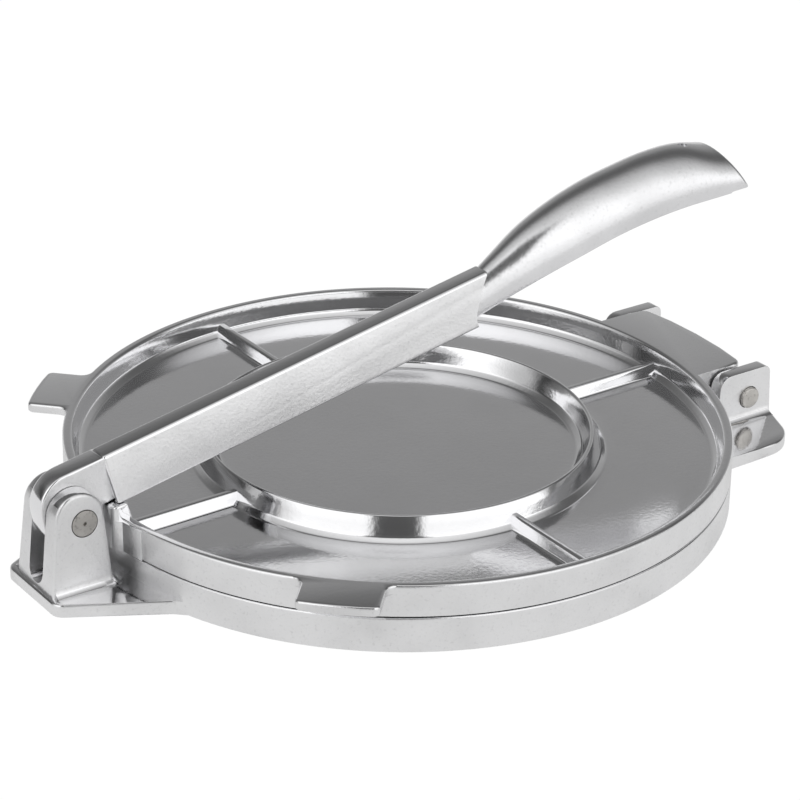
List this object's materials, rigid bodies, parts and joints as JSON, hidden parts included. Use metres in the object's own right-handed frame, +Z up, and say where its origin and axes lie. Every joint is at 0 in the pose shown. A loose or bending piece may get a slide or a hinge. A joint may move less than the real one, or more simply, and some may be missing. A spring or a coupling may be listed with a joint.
{
  "type": "tortilla press",
  "caption": "Round cast press for flattening dough: a ribbed top plate hinged on a base plate, closed by a long lever with a hollow grip.",
  "frame": {"origin": "middle of the bounding box's underside, on the table that the base's rim stands on", "axes": "+X from the lever's clevis to the plate hinge, +Z up"},
  "size_m": [0.252, 0.203, 0.0899],
  "materials": {
    "base_aluminium": "polished casting",
    "top_aluminium": "polished casting",
    "lever_aluminium": "polished casting",
    "lever_pin_steel": "dull, cut end",
    "hinge_pin_right_steel": "dull, cut end",
    "hinge_pin_left_steel": "dull, cut end"
  },
  "bodies": {
    "base": {"base_plate": "base_aluminium", "lever_pin": "lever_pin_steel", "hinge_pin_right": "hinge_pin_right_steel", "hinge_pin_left": "hinge_pin_left_steel"},
    "top_plate": {"top_plate": "top_aluminium"},
    "lever": {"lever": "lever_aluminium"}
  },
  "joints": [
    {"name": "lever_pivot", "type": "hinge", "parent": "base", "child": "lever", "pos_m": [-0.1133, -0.00125, 0.0248], "axis": [0, -1, 0], "range_deg": [0, 165]},
    {"name": "plate_hinge", "type": "hinge", "parent": "base", "child": "top_plate", "pos_m": [0.1163, 0, 0.0113], "axis": [0, 1, 0], "range_deg": [0, 105]}
  ],
  "couplings": [
    {"joint": "plate_hinge", "follows": "lever_pivot", "ratio": 0.055}
  ]
}
